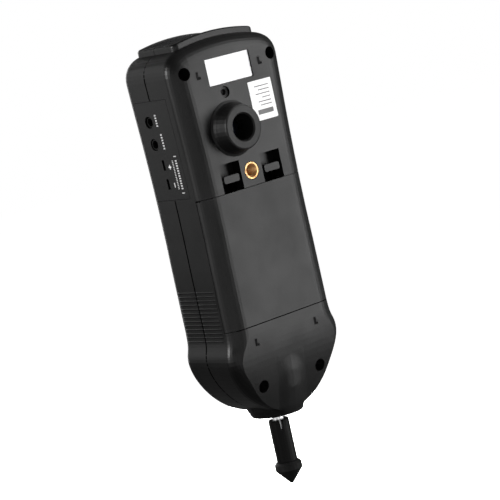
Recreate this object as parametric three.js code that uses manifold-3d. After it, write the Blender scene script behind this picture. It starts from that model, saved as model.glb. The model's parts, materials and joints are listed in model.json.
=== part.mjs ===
// Hand-held contact tachometer with a rear sensor barrel, drawn at full size.
// Millimetres. +Z runs up the case away from the measuring tip, the display faces -Y,
// the battery cover faces +Y and the sockets are on the +X side.
// The origin is the centre of the tripod insert, on the flat back of the case.
import * as THREE from 'three';
import { mergeVertices } from 'three/addons/utils/BufferGeometryUtils.js';
import Module from 'manifold-3d';

const wasm = await Module();
wasm.setup();

// ---------------------------------------------------------------- driving dimensions
const WALL = 2.2;            // case wall
const GAP = 0.3;             // air between neighbouring pieces
const FRONT_Y = -41;         // display face of the case
const SEAM_Y = -23.2;        // parting plane of the two case halves
const FRONT_EDGE = 3.2;      // rounding where the sides meet the display face
const BACK_ROLL = { wide: 10, deep: 7 }; // softer roll where they meet the back
const FAR = 90;              // longer than any half of the case

const HALF_TOP = 36.5;       // half width at the shoulders
const HALF_WAIST = 34.5;     // half width along the grip
const END_HALF = 37.2;       // half width of the round lower end
const END_Z = -90;           // height where it is widest
const SHOULDER_Z = 56;       // where the top corners start
const CORNER_X = 24.6;       // where they end, on the arch of the top
const CROWN_Z = 70.2;        // top of the case
const CROWN_R = 123;         // arch of the top
const RIM = { halfX: 26.6, y0: -39.2, y1: -6.6, round: 3.4, rise: 3.2, wall: 3, edge: 1.1 };

const SHAFT_Y = -23;         // spindle axis, on x = 0
const NOSE_Z = -128.3;       // lower end of the nose
const RIDGE_Y = -20;         // axis of the cone that swells the back above the nose
const SHAFT_R = 3;
const SLEEVE = { r: 5.5, top: -132.2, bottom: -155.2, bore: 3.3, boreTop: -147 };
const CONE = { r: 7.2, shoulder: -155.2, base: -159.8, tip: -167.4 };
const BEARING = { outer: 6.5, bore: SHAFT_R + 0.05, width: 5, lowerZ: -125.6, upperZ: -111 };
const DISC = { r: 9, hub: 4.6, z: -97, slots: 6 };
const CLIP_R = 4.6;          // stays clear of the board's lower edge

const COVER = { top: -8, bottom: -76, depth: 6.5, thick: 2 };
const LATCH = { x0: 8.6, x1: 18.6, z0: -3.1, z1: 0.6, stem: 1.2, shift: -3.4, deep: 5.5 };
const POCKET = { x0: 7, x1: 20.25, top: 7, depth: 6, sill: -2.4 };
const BARREL = { x: 6.2, z: 23.2, height: 9, r: 11.6, base: 14.3, bore: 6.8, lip: 7.5 };
const INSERT = { r: 4.35, thread: 3.0, length: 9 };
const LASER = { x: 6, z: 41.9, r: 1.6, ring: 2.7 };
const PANEL = { y0: -37.4, y1: -10.5, z0: -6, z1: 45.2, gap: 0.18 };
const JACK = { r: 2.65, bore: 2.2, y: -28.4, z: [34.7, 23.1] };
const SLOT = { y: -25.2, z: [12.1, 2.2], half: 2.3, width: 1 };
const LABEL = { halfX: 14.6, z0: 46, z1: 60, depth: 0.9 };
const TAG = { x0: -24.8, x1: -9.3, z0: 23, z1: 43.5, thick: 0.15 };
const SCREWS = [[28.5, 55.4], [-28.5, 55.4], [19.6, -108.5], [-19.6, -108.5]];
const COUNTERBORE_R = 3.3;
const CELL = { r: 5.2, length: 44, pitch: 10.9, first: -14.2, count: 6, y: -8.9 };
const KEYS = [[-17, -33], [0, -33], [17, -33], [-17, -49], [0, -49], [17, -49]];
const KEY = { halfX: 6.5, halfZ: 4.5, proud: 1.6 };
const WINDOW = { halfX: 26, z0: 4, z1: 50 };

// ---------------------------------------------------------------- solids
function solid(geometry) {
  const bare = geometry.clone();
  bare.deleteAttribute('normal');
  bare.deleteAttribute('uv');
  const merged = mergeVertices(bare, 1e-4);
  const mesh = new wasm.Mesh({
    numProp: 3,
    vertProperties: new Float32Array(merged.attributes.position.array),
    triVerts: new Uint32Array(merged.index.array),
  });
  return new wasm.Manifold(mesh);
}

function geometryOf(manifold) {
  const mesh = manifold.getMesh();
  const geometry = new THREE.BufferGeometry();
  geometry.setAttribute('position', new THREE.BufferAttribute(mesh.vertProperties, 3));
  geometry.setIndex(new THREE.BufferAttribute(mesh.triVerts, 1));
  return geometry;
}

function block(x0, x1, y0, y1, z0, z1) {
  const geometry = new THREE.BoxGeometry(x1 - x0, y1 - y0, z1 - z0);
  geometry.translate((x0 + x1) / 2, (y0 + y1) / 2, (z0 + z1) / 2);
  return solid(geometry);
}

// A rod between two stations of one axis, centred on (a, b) of the other two axes.
function rod(axis, a, b, from, to, radius, sides = 20, endRadius = radius) {
  const geometry = new THREE.CylinderGeometry(endRadius, radius, to - from, sides);
  geometry.translate(0, (from + to) / 2, 0);
  if (axis === 'y') geometry.translate(a, 0, b);
  if (axis === 'z') geometry.rotateX(Math.PI / 2).translate(a, b, 0);
  if (axis === 'x') geometry.rotateZ(-Math.PI / 2).translate(0, a, b);
  return solid(geometry);
}

// A profile of [radius, height] pairs turned about an axis parallel to Z or Y.
function turned(profile, axis, a, b, sides = 32) {
  const points = profile.map(([radius, height]) => new THREE.Vector2(radius, height));
  const geometry = new THREE.LatheGeometry(points, sides);
  if (axis === 'y') geometry.translate(a, 0, b);
  if (axis === 'z') geometry.rotateX(Math.PI / 2).translate(a, b, 0);
  return solid(geometry);
}

// Outline in X and Z, given thickness from y0 to y1.
function slab(shape, y0, y1, curveSegments = 8) {
  const geometry = new THREE.ExtrudeGeometry(shape, {
    depth: y1 - y0, curveSegments, bevelEnabled: false, steps: 1,
  });
  return solid(geometry.rotateX(Math.PI / 2).translate(0, y1, 0));
}

// Outline in X and Y, given height from z0 to z1.
function column(shape, z0, z1, curveSegments = 6) {
  const geometry = new THREE.ExtrudeGeometry(shape, {
    depth: z1 - z0, curveSegments, bevelEnabled: false, steps: 1,
  });
  return solid(geometry.translate(0, 0, z0));
}

function roundedRect(x0, x1, y0, y1, r) {
  const shape = new THREE.Shape();
  shape.moveTo(x0 + r, y0);
  shape.lineTo(x1 - r, y0);
  shape.absarc(x1 - r, y0 + r, r, -Math.PI / 2, 0, false);
  shape.lineTo(x1, y1 - r);
  shape.absarc(x1 - r, y1 - r, r, 0, Math.PI / 2, false);
  shape.lineTo(x0 + r, y1);
  shape.absarc(x0 + r, y1 - r, r, Math.PI / 2, Math.PI, false);
  shape.lineTo(x0, y0 + r);
  shape.absarc(x0 + r, y0 + r, r, Math.PI, 1.5 * Math.PI, false);
  return shape;
}

function join(...solids) {
  return solids.reduce((sum, next) => sum.add(next));
}

// ---------------------------------------------------------------- case volume
// Points of the right half of the outline, from the crown down to the lowest point.
function halfOutline(detail) {
  const points = [];
  const crownCentre = CROWN_Z - CROWN_R;
  for (let i = 0; i <= 5; i += 1) {
    const x = (CORNER_X * i) / 5;
    points.push([x, crownCentre + Math.sqrt(CROWN_R ** 2 - x ** 2)]);
  }
  const corner = new THREE.CubicBezierCurve(
    new THREE.Vector2(CORNER_X, points[5][1]), new THREE.Vector2(32, 66),
    new THREE.Vector2(HALF_TOP, 62.5), new THREE.Vector2(HALF_TOP, SHOULDER_Z - 1),
  );
  const side = new THREE.CubicBezierCurve(
    new THREE.Vector2(HALF_TOP, SHOULDER_Z - 1), new THREE.Vector2(HALF_TOP - 0.9, 32),
    new THREE.Vector2(HALF_WAIST - 1.1, 0), new THREE.Vector2(HALF_WAIST, -44),
  );
  const neck = new THREE.CubicBezierCurve(
    new THREE.Vector2(HALF_WAIST + 0.2, -75), new THREE.Vector2(HALF_WAIST + 0.3, -87),
    new THREE.Vector2(END_HALF - 0.4, -84.5), new THREE.Vector2(END_HALF, END_Z - 1),
  );
  const end = new THREE.CubicBezierCurve(
    new THREE.Vector2(END_HALF, END_Z - 1), new THREE.Vector2(END_HALF, -103.5),
    new THREE.Vector2(21, -125.8), new THREE.Vector2(0, -126.6),
  );
  for (const [curve, count] of [[corner, 7], [side, 6], [neck, 8], [end, 13]]) {
    curve.getPoints(Math.ceil(count * detail)).forEach((p, i) => {
      if (i > 0 || curve === neck) points.push([p.x, p.y]);
    });
  }
  return points;
}

function outlineShape(detail) {
  const right = halfOutline(detail);
  const left = right.slice(1, -1).reverse().map(([x, z]) => [-x, z]);
  const loop = [...right, ...left].map(([x, z]) => new THREE.Vector2(x, z));
  return new THREE.Shape(loop.reverse());
}

// Unit direction from the core of the outline to a point on it.
function outward(x, z) {
  const coreX = z > 0 ? THREE.MathUtils.clamp(x, -CORNER_X, CORNER_X) : 0;
  const core = new THREE.Vector2(coreX, THREE.MathUtils.clamp(z, END_Z, SHOULDER_Z));
  return new THREE.Vector2(x, z).sub(core).normalize();
}

// Stations from the back to the display face: depth, and how far the outline is drawn in.
function roundingLayers(inset, steps) {
  const layers = [];
  for (let i = 0; i <= steps; i += 1) {
    const angle = (Math.PI / 2) * (i / steps);
    const drawIn = (BACK_ROLL.wide - inset * 0.6) * (1 - Math.sin(angle)) + inset;
    layers.push([-inset - BACK_ROLL.deep * (1 - Math.cos(angle)), drawIn]);
  }
  const frontSteps = Math.min(steps, 4);
  for (let i = frontSteps; i >= 0; i -= 1) {
    const angle = (Math.PI / 2) * (i / frontSteps);
    const drawIn = FRONT_EDGE * (1 - Math.sin(angle)) + inset;
    layers.push([FRONT_Y + inset + FRONT_EDGE * (1 - Math.cos(angle)), drawIn]);
  }
  return layers;
}

// The back roll is fuller around the lower end than along the sides.
function lowerSwell(z) {
  return 1 + 0.5 * THREE.MathUtils.smoothstep(-z, 92, 112);
}

// The outline swept from back to front, each station drawn in towards the core.
function roundedSlab(inset) {
  const hollow = inset > 0;
  const layers = roundingLayers(inset, hollow ? 3 : 9);
  const last = layers.length - 1;
  const geometry = new THREE.ExtrudeGeometry(outlineShape(hollow ? 0.6 : 1.3), {
    depth: 1, steps: last, curveSegments: 1, bevelEnabled: false,
  });
  const position = geometry.attributes.position;
  for (let i = 0; i < position.count; i += 1) {
    const [y, drawIn] = layers[Math.round(position.getZ(i) * last)];
    const point = new THREE.Vector2(position.getX(i), position.getY(i));
    const fuller = y > -BACK_ROLL.deep - inset - 0.01 ? lowerSwell(point.y) : 1;
    point.addScaledVector(outward(point.x, point.y), -drawIn * fuller);
    position.setXYZ(i, point.x, y * fuller, point.y);
  }
  return solid(geometry);
}

// Side view in Y and Z: back and front draw together below the grip.
function sideProfile(inset) {
  const back = 0.05 - inset;
  const front = FRONT_Y + inset;
  const shape = new THREE.Shape();
  shape.moveTo(back, -77);
  shape.bezierCurveTo(back, -92, -2.2 - inset, -106, -9.5 - inset, -130);
  shape.lineTo(-34 + inset, -130);
  shape.bezierCurveTo(-39.8 + inset, -120, front, -108, front - 1, -88);
  shape.lineTo(front - 1, 80);
  shape.lineTo(back, 80);
  return shape;
}

// The nose around the shaft, and a fuller cone behind it that stands proud as a ridge.
function noseSolid(inset) {
  const end = NOSE_Z + inset / 2;
  const front = [[17.3, -110], [15.9, -119], [14.9, -124.4], [13.2, end]];
  const back = [[18.7, -95], [17.9, -105], [16.6, -114], [15.1, -120], [13.9, -124.4], [12.3, end]];
  const cone = (stations, y) => {
    const wall = stations.map(([radius, z]) => [radius - inset, z]);
    const top = [[0, stations[0][1] + 14], [stations[0][0] - inset, stations[0][1] + 8]];
    return turned([...top, ...wall, [0, end]].reverse(), 'z', 0, y, inset > 0 ? 36 : 60);
  };
  return cone(front, SHAFT_Y).add(cone(back, RIDGE_Y));
}

function archDisc(rise) {
  return rod('y', 0, CROWN_Z - CROWN_R, -FAR, FAR, CROWN_R + rise, 120);
}

function rimBlock(inset, low, rise) {
  const shape = roundedRect(
    -RIM.halfX + inset, RIM.halfX - inset, RIM.y0 + inset, RIM.y1 - inset,
    Math.max(RIM.round - inset, 1.2),
  );
  return column(shape, low, CROWN_Z + 10).intersect(archDisc(rise));
}

// The raised rim with its rounded edge, bent to the arch of the top.
function rimBody() {
  const { halfX, y0, y1, round, rise, edge } = RIM;
  const loop = roundedRect(-halfX + edge, halfX - edge, y0 + edge, y1 - edge, round - edge);
  const points = [];
  loop.getPoints(5).forEach((point, i, all) => {
    const next = all[(i + 1) % all.length];
    const pieces = Math.max(1, Math.round(Math.abs(next.x - point.x) / 3));
    for (let k = 0; k < pieces; k += 1) points.push(point.clone().lerp(next, k / pieces));
  });
  const geometry = new THREE.ExtrudeGeometry(new THREE.Shape(points), {
    depth: 20, bevelSize: edge, bevelThickness: edge, bevelSegments: 4, curveSegments: 1,
  });
  geometry.translate(0, 0, CROWN_Z + rise - 20 - edge);
  const position = geometry.attributes.position;
  for (let i = 0; i < position.count; i += 1) {
    const drop = CROWN_R - Math.sqrt(CROWN_R ** 2 - position.getX(i) ** 2);
    position.setZ(i, position.getZ(i) - drop);
  }
  return solid(geometry);
}

function caseVolume(inset) {
  const side = new THREE.ExtrudeGeometry(sideProfile(inset), {
    depth: 2 * FAR, curveSegments: inset > 0 ? 6 : 15, bevelEnabled: false, steps: 1,
  });
  side.rotateX(Math.PI / 2).rotateZ(Math.PI / 2).translate(-FAR, 0, 0);
  return roundedSlab(inset).intersect(solid(side));
}

const outer = join(caseVolume(0), noseSolid(0), rimBody());
const inner = join(caseVolume(WALL), noseSolid(WALL));
const shell = outer.subtract(inner);

// ---------------------------------------------------------------- case halves
// Space for the socket panel, which bridges the parting line on the +X side.
function panelNotch(grow) {
  return block(28, FAR, PANEL.y0 - grow, PANEL.y1 + grow, PANEL.z0 - grow, PANEL.z1 + grow);
}

function windowRecess() {
  const well = rimBlock(RIM.wall, 60, 9).subtract(archDisc(0.9));
  const hatch = rimBlock(RIM.wall + 2, 60, 9);
  return well.add(hatch);
}

function rearBosses() {
  const posts = SCREWS.map(([x, z]) => rod('y', x, z, SEAM_Y + 0.4, -1.5, 4.9, 16));
  const clipped = join(...posts).intersect(caseVolume(0.4));
  const insertBoss = block(-6.6, 6.6, -INSERT.length - 1.5, -1, -6.2, 7.4);
  return clipped.add(insertBoss);
}

function latchPocket(side) {
  const [x0, x1] = side > 0 ? [POCKET.x0, POCKET.x1] : [-POCKET.x1, -POCKET.x0];
  return {
    box: block(x0 - 1.4, x1 + 1.4, -POCKET.depth - 1.4, -1, COVER.top + GAP, POCKET.top + 1.4),
    hole: block(x0, x1, -POCKET.depth, 5, COVER.top - 3, POCKET.top),
    slot: block(x0, x1, -POCKET.depth - 3, 5, COVER.top - 3, POCKET.sill),
  };
}

function rearCase() {
  const pockets = [latchPocket(1), latchPocket(-1)];
  const coverCut = block(
    -FAR, FAR, -COVER.depth - GAP, 5, COVER.bottom - GAP, COVER.top + GAP,
  );
  let body = shell.intersect(block(-FAR, FAR, SEAM_Y + GAP / 2, 20, -140, FAR));
  body = join(body, rearBosses(), pockets[0].box, pockets[1].box);
  body = body.subtract(coverCut).subtract(panelNotch(PANEL.gap)).subtract(windowRecess());
  for (const { hole, slot } of pockets) body = body.subtract(hole).subtract(slot);
  for (const [x, z] of SCREWS) {
    body = body.subtract(rod('y', x, z, -14, 5, COUNTERBORE_R, 20));
    body = body.subtract(rod('y', x, z, -30, 0, 1.7, 8));
  }
  body = body.subtract(rod('y', 0, 0, -INSERT.length - GAP, 5, INSERT.r + GAP, 32));
  body = body.subtract(rod('y', BARREL.x, BARREL.z, -5, 5, 8.6, 32));
  body = body.subtract(rod('y', LASER.x, LASER.z, -5, 5, LASER.ring + GAP, 24));
  body = body.subtract(block(-LABEL.halfX, LABEL.halfX, -LABEL.depth, 5, LABEL.z0, LABEL.z1));
  return body.subtract(rod('z', 0, SHAFT_Y, -140, -120, 9.2, 32));
}

function frontBosses() {
  const posts = SCREWS.map(([x, z]) => rod('y', x, z, FRONT_Y + 1.5, SEAM_Y - 0.4, 3.6, 12));
  const pilots = SCREWS.map(([x, z]) => rod('y', x, z, FRONT_Y + 6, SEAM_Y + 5, 1.6, 8));
  return join(...posts).intersect(caseVolume(0.4)).subtract(join(...pilots));
}

function frontCase() {
  let body = shell.intersect(block(-FAR, FAR, -FAR, SEAM_Y - GAP / 2, -140, FAR));
  body = body.add(frontBosses());
  body = body.subtract(panelNotch(PANEL.gap)).subtract(windowRecess());
  const pane = roundedRect(-WINDOW.halfX, WINDOW.halfX, WINDOW.z0, WINDOW.z1, 2.5);
  const seat = roundedRect(-WINDOW.halfX + 2, WINDOW.halfX - 2, WINDOW.z0 + 2, WINDOW.z1 - 2, 1);
  body = body.subtract(slab(pane, FRONT_Y - 5, FRONT_Y + 1.3, 4));
  body = body.subtract(slab(seat, FRONT_Y - 5, FRONT_Y + 5, 2));
  for (const [x, z] of KEYS) {
    const grow = 0.35;
    const hole = roundedRect(
      x - KEY.halfX - grow, x + KEY.halfX + grow, z - KEY.halfZ - grow, z + KEY.halfZ + grow, 2,
    );
    body = body.subtract(slab(hole, FRONT_Y - 5, FRONT_Y + 5, 4));
  }
  return body.subtract(rod('z', 0, SHAFT_Y, -140, -120, 9.2, 32));
}

function batteryCover() {
  const skin = outer.subtract(caseVolume(COVER.thick));
  const zone = block(-FAR, FAR, -COVER.depth, 5, COVER.bottom, COVER.top);
  const skirtRelief = block(-FAR, FAR, -20, -4, COVER.top - 0.5, 0);
  return skin.intersect(zone).subtract(skirtRelief);
}

function socketPanel() {
  let body = shell.intersect(panelNotch(0));
  for (const z of JACK.z) body = body.subtract(rod('x', JACK.y, z, 20, 45, JACK.r + 0.5, 24));
  for (const z of SLOT.z) {
    const half = SLOT.half + 0.4;
    const width = SLOT.width / 2 + 0.4;
    body = body.subtract(block(20, 45, SLOT.y - width, SLOT.y + width, z - half, z + half));
  }
  return body;
}

// ---------------------------------------------------------------- fittings on the case
function latch(side) {
  const mid = (side * (LATCH.x0 + LATCH.x1)) / 2;
  const half = (LATCH.x1 - LATCH.x0) / 2;
  const thumb = slab(roundedRect(mid - half, mid + half, LATCH.z0, LATCH.z1, 0.9), -1.8, -0.1, 3);
  const { stem: wide, deep } = LATCH;
  const x = mid + LATCH.shift;
  const stem = block(x - wide, x + wide, -deep, -1, LATCH.z0 + 0.5, LATCH.z0 + 1.8);
  const foot = block(x - wide, x + wide, -deep, 1.1 - deep, COVER.top - 0.6, LATCH.z0 + 1.8);
  return join(thumb, stem, foot);
}

function tripodInsert() {
  const sides = 32;
  const sleeve = rod('y', 0, 0, -INSERT.length, 0, INSERT.r, sides);
  const mouth = rod('y', 0, 0, -0.8, 0.2, INSERT.thread, sides, INSERT.thread + 0.7);
  return sleeve.subtract(rod('y', 0, 0, -INSERT.length + 1, 1, INSERT.thread, sides)).subtract(mouth);
}

function sensorBarrel() {
  const { r, base, bore, lip, height } = BARREL;
  const profile = [
    [bore, -4], [8.2, -4], [8.2, 0.05], [base, 0.05], [base, 0.35], [13.2, 0.9], [12.5, 2.2],
    [12.1, 4.4], [r, height - 0.9], [r - 0.3, height - 0.3], [r - 1, height],
    [lip, height], [bore, height - 0.7], [bore, -4],
  ];
  return turned(profile, 'y', BARREL.x, BARREL.z, 36);
}

function sensorLens() {
  const profile = [
    [0, -3.4], [5.6, -3.4], [5.6, -1.6], [4.6, -0.9], [3, -0.3], [1.2, 0], [0, 0],
  ];
  return turned(profile, 'y', BARREL.x, BARREL.z, 28);
}

function laserRing() {
  const profile = [
    [LASER.r, -3.4], [LASER.ring, -3.4], [LASER.ring, -0.9], [2.2, -0.9], [2.2, -1.2],
    [LASER.r, -1.2], [LASER.r, -3.4],
  ];
  return turned(profile, 'y', LASER.x, LASER.z, 24);
}

function topWindow() {
  const pane = rimBlock(RIM.wall + GAP, 60, 2.4);
  return pane.subtract(archDisc(0.9 + GAP));
}

function jack(index) {
  const z = JACK.z[index];
  const depth = 12;
  const body = block(22, 31.2, JACK.y - 4, JACK.y + 4, z - 4.4, z + 4.4);
  const nose = rod('x', JACK.y, z, 22 + depth / 2, 34.6, JACK.r, 24);
  return body.add(nose).subtract(rod('x', JACK.y, z, 25, 45, JACK.bore, 20));
}

function thermocoupleSocket() {
  const mid = (SLOT.z[0] + SLOT.z[1]) / 2;
  let body = block(22, 31.2, SLOT.y - 4.5, SLOT.y + 4.5, mid - 9.5, mid + 9.5);
  for (const z of SLOT.z) {
    const half = SLOT.half + 0.1;
    const width = SLOT.width / 2 + 0.1;
    body = body.add(block(25, 33.2, SLOT.y - width, SLOT.y + width, z - half, z + half));
  }
  for (const z of SLOT.z) {
    const half = SLOT.half - 0.5;
    body = body.subtract(block(24, 40, SLOT.y - 0.35, SLOT.y + 0.35, z - half, z + half));
  }
  return body;
}

function labelPlate() {
  const inset = 0.25;
  const shape = roundedRect(
    -LABEL.halfX + inset, LABEL.halfX - inset, LABEL.z0 + inset, LABEL.z1 - inset, 0.6,
  );
  return slab(shape, -LABEL.depth + 0.05, -LABEL.depth + 0.3, 3);
}

function tagPlate() {
  return slab(roundedRect(TAG.x0, TAG.x1, TAG.z0, TAG.z1, 0.5), 0.02, 0.02 + TAG.thick, 3);
}

function caseScrew([x, z]) {
  const head = rod('y', x, z, -13.8, -11.6, 2.8, 14);
  const shank = rod('y', x, z, -33, -13, 1.3, 8);
  const recess = join(
    block(x - 1.6, x + 1.6, -12.6, -10, z - 0.35, z + 0.35),
    block(x - 0.35, x + 0.35, -12.6, -10, z - 1.6, z + 1.6),
  );
  return head.add(shank).subtract(recess);
}

// ---------------------------------------------------------------- display and keypad
function displayWindow() {
  const inset = GAP;
  const shape = roundedRect(
    -WINDOW.halfX + inset, WINDOW.halfX - inset, WINDOW.z0 + inset, WINDOW.z1 - inset, 2.2,
  );
  return slab(shape, FRONT_Y + 0.05, FRONT_Y + 1.05, 4);
}

function keyTop([x, z]) {
  const { halfX, halfZ, proud } = KEY;
  const cap = slab(roundedRect(x - halfX, x + halfX, z - halfZ, z + halfZ, 1.8), FRONT_Y - proud, -37.4, 4);
  const flange = block(x - halfX - 0.8, x + halfX + 0.8, -38.3, -37.4, z - halfZ - 0.8, z + halfZ + 0.8);
  return cap.add(flange);
}

// Rubber sheet on the board with one spring dome behind each key.
function keypadMat() {
  const sheet = slab(roundedRect(-26, 26, -57, -25, 2), -31.5, -30, 3);
  const domes = KEYS.map(([x, z]) => rod('y', x, z, -36.3, -31, 3, 8));
  return join(sheet, ...domes);
}

function lcdFrame() {
  const body = block(-27, 27, -38.4, -34.4, WINDOW.z0 - 1, WINDOW.z1 + 1);
  return body.subtract(block(-24.2, 24.2, -40, -35.4, WINDOW.z0 + 3, WINDOW.z1 - 3));
}

function mainBoard() {
  let body = slab(roundedRect(-29.5, 29.5, -82, 48, 3), -29.6, -28, 3);
  body = body.add(block(-14, 14, -29.6, -28, -103, -80));
  body = body.subtract(block(-10.2, 10.2, -40, -20, DISC.z - 1.3, DISC.z + 2.3));
  body = body.subtract(block(21.4, 40, -40, -20, -9, 41));
  body = body.subtract(rod('y', 28.5, 55.4, -40, 0, 4.5, 16));
  return body.subtract(rod('y', -28.5, 55.4, -40, 0, 4.5, 16));
}

// ---------------------------------------------------------------- batteries
function batteryTray() {
  const { pitch, first, count, r, y } = CELL;
  const top = first + r + 0.8;
  const bottom = first - pitch * (count - 1) - r - 0.8;
  const floor = y - r - 2;
  let body = block(-30.4, 30.4, floor, -COVER.depth - 1.2, bottom - 1.4, top + 1.2);
  body = body.subtract(block(-28.8, 28.8, y - r - 0.6, 5, bottom, top));
  return body;
}

function batteryCell(index) {
  const z = CELL.first - CELL.pitch * index;
  const turn = index % 2 ? -1 : 1;
  const half = CELL.length / 2;
  const can = rod('x', CELL.y, z, -half + 0.4, half - 1.1, CELL.r, 16);
  const nub = rod('x', CELL.y, z, half - 1.5, half, 1.8, 8);
  const cell = can.add(nub);
  return turn > 0 ? cell : cell.mirror([1, 0, 0]);
}

// One plate at each end of the cells, with a spring cone pressing on each of them.
function contactStrip(side) {
  const plate = 27.6;
  const [x0, x1] = side > 0 ? [plate, plate + 0.8] : [-plate - 0.8, -plate];
  const bottom = CELL.first - CELL.pitch * (CELL.count - 1) - 4;
  let strip = block(x0, x1, CELL.y - 4, CELL.y + 3.6, bottom, CELL.first + 4);
  const near = side * (CELL.length / 2 + GAP);
  for (let i = 0; i < CELL.count; i += 1) {
    const z = CELL.first - CELL.pitch * i;
    const [from, to] = side > 0 ? [near, plate + 0.2] : [-plate - 0.2, near];
    const [low, high] = side > 0 ? [1.8, 3.6] : [3.6, 1.8];
    strip = strip.add(rod('x', CELL.y, z, from, to, low, 10, high));
  }
  return strip;
}

// ---------------------------------------------------------------- measuring spindle
function bearing(low) {
  const { outer: r, bore, width } = BEARING;
  const profile = [
    [bore, low], [4.2, low], [4.2, low + 0.3], [5.5, low + 0.3], [5.5, low], [r, low],
    [r, low + width], [bore, low + width], [bore, low],
  ];
  return turned(profile, 'z', 0, SHAFT_Y, 20);
}

function bearingHolder() {
  const r = BEARING.outer;
  const low = BEARING.lowerZ - 0.6;
  const profile = [
    [5, low], [8.8, low], [8.8, -112], [10.4, -112], [10.4, -108], [8.8, -108], [8.8, -104.8],
    [5, -104.8], [5, BEARING.upperZ + 5 + GAP], [r + GAP, BEARING.upperZ + 5 + GAP],
    [r + GAP, BEARING.upperZ - GAP], [5, BEARING.upperZ - GAP],
    [5, BEARING.lowerZ + 5 + GAP], [r + GAP, BEARING.lowerZ + 5 + GAP],
    [r + GAP, BEARING.lowerZ - GAP], [5, BEARING.lowerZ - GAP], [5, low],
  ];
  return turned(profile, 'z', 0, SHAFT_Y, 20);
}

// A narrow box standing out from the spindle axis towards one bearing angle.
function radialCut(width, from, to, z0, z1, degrees) {
  const geometry = new THREE.BoxGeometry(to - from, width, z1 - z0);
  geometry.translate((from + to) / 2, 0, (z0 + z1) / 2).rotateZ(THREE.MathUtils.degToRad(degrees));
  return solid(geometry.translate(0, SHAFT_Y, 0));
}

function inputShaft() {
  const end = SLEEVE.boreTop + 0.8;
  const profile = [
    [0, end], [SHAFT_R - 0.4, end], [SHAFT_R, end + 0.5], [SHAFT_R, -93], [0, -93],
  ];
  const shaft = turned(profile, 'z', 0, SHAFT_Y, 28);
  return shaft.subtract(radialCut(0.9, 2.2, 5, -150, -127, 42));
}

function encoderDisc() {
  let disc = rod('z', 0, SHAFT_Y, DISC.z, DISC.z + 1, DISC.r, 24);
  disc = disc.add(rod('z', 0, SHAFT_Y, DISC.z - 2, DISC.z + 3, DISC.hub, 16));
  for (let i = 0; i < DISC.slots; i += 1) {
    const geometry = new THREE.BoxGeometry(2.2, 3, 4);
    geometry.translate(DISC.r - 1.9, 0, 0).rotateZ((i * 2 * Math.PI) / DISC.slots);
    disc = disc.subtract(solid(geometry.translate(0, SHAFT_Y, DISC.z)));
  }
  return disc.subtract(rod('z', 0, SHAFT_Y, -110, -90, SHAFT_R + GAP, 16));
}

function shaftClip() {
  const r = SHAFT_R + GAP;
  const profile = [[r, -103.8], [CLIP_R, -103.8], [CLIP_R, -102.8], [r, -102.8], [r, -103.8]];
  const ring = turned(profile, 'z', 0, SHAFT_Y, 24);
  return ring.subtract(block(-1, 1, SHAFT_Y - 8, SHAFT_Y, -105, -101));
}

function opticalInterrupter() {
  const body = block(-3.2, 3.2, -36, -29.9, DISC.z - 4.5, DISC.z + 5.5);
  return body.subtract(block(-4, 4, SHAFT_Y - 9.9, -20, DISC.z - 1.3, DISC.z + 2.3));
}

function adapterSleeve() {
  const { r, top, bottom, bore, boreTop } = SLEEVE;
  const profile = [
    [bore, boreTop], [bore, top], [r - 0.5, top], [r, top - 0.5], [r, bottom + GAP],
    [0, bottom + GAP], [0, boreTop], [bore, boreTop],
  ];
  const tube = turned(profile.slice().reverse(), 'z', 0, SHAFT_Y, 24);
  return tube.subtract(radialCut(1.1, 0, 8, top - 5.2, top + 1, 62));
}

function coneTip() {
  const { r, shoulder, base, tip } = CONE;
  const profile = [
    [0, tip], [0.7, tip + 0.2], [1.3, tip + 0.9], [r - 0.2, base], [r, base + 0.5],
    [r, shoulder - 1.3], [r - 1.3, shoulder], [0, shoulder],
  ];
  return turned(profile, 'z', 0, SHAFT_Y, 24);
}

// ---------------------------------------------------------------- assembly
const tachometer = new THREE.Group();

function add(name, body, colour, roughness = 0.6, metalness = 0) {
  const material = new THREE.MeshStandardMaterial({ color: colour, roughness, metalness });
  const mesh = new THREE.Mesh(geometryOf(body), material);
  mesh.name = name;
  tachometer.add(mesh);
}

add('rear_case', rearCase(), 0x3a3a3a);
add('front_case', frontCase(), 0x383838);
add('battery_cover', batteryCover(), 0x404040);
add('socket_panel', socketPanel(), 0x333333);
add('latch_right', latch(1), 0x4a4a4a);
add('latch_left', latch(-1), 0x4a4a4a);
add('tripod_insert', tripodInsert(), 0xd9a45a, 0.3, 1);
add('sensor_barrel', sensorBarrel(), 0x333333);
add('sensor_lens', sensorLens(), 0x101418, 0.1);
add('laser_ring', laserRing(), 0x202020);
add('top_window', topWindow(), 0x1a1a1a, 0.2);
add('serial_jack', jack(0), 0x151515);
add('power_jack', jack(1), 0x151515);
add('thermocouple_socket', thermocoupleSocket(), 0x202020);
add('rating_label', labelPlate(), 0xf5f5f5);
add('side_label', tagPlate(), 0xf0f0f0);
SCREWS.forEach((place, i) => add(`case_screw_${i + 1}`, caseScrew(place), 0x909090, 0.4, 1));
add('display_window', displayWindow(), 0x9fb0a8, 0.1);
add('lcd_frame', lcdFrame(), 0x2a2a2a);
add('lcd_panel', block(-23.9, 23.9, -38, -35.7, WINDOW.z0 + 3.3, WINDOW.z1 - 3.3), 0x8f9a86, 0.3);
KEYS.forEach((place, i) => add(`key_${i + 1}`, keyTop(place), 0x5a6068));
add('keypad_mat', keypadMat(), 0x777777, 0.8);
add('main_board', mainBoard(), 0x1f5a35, 0.5);
add('battery_tray', batteryTray(), 0x2a2a2a);
for (let i = 0; i < CELL.count; i += 1) add(`battery_${i + 1}`, batteryCell(i), 0xb0702a, 0.4, 0.3);
add('contact_strip_right', contactStrip(1), 0xc0c0c0, 0.3, 1);
add('contact_strip_left', contactStrip(-1), 0xc0c0c0, 0.3, 1);
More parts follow.
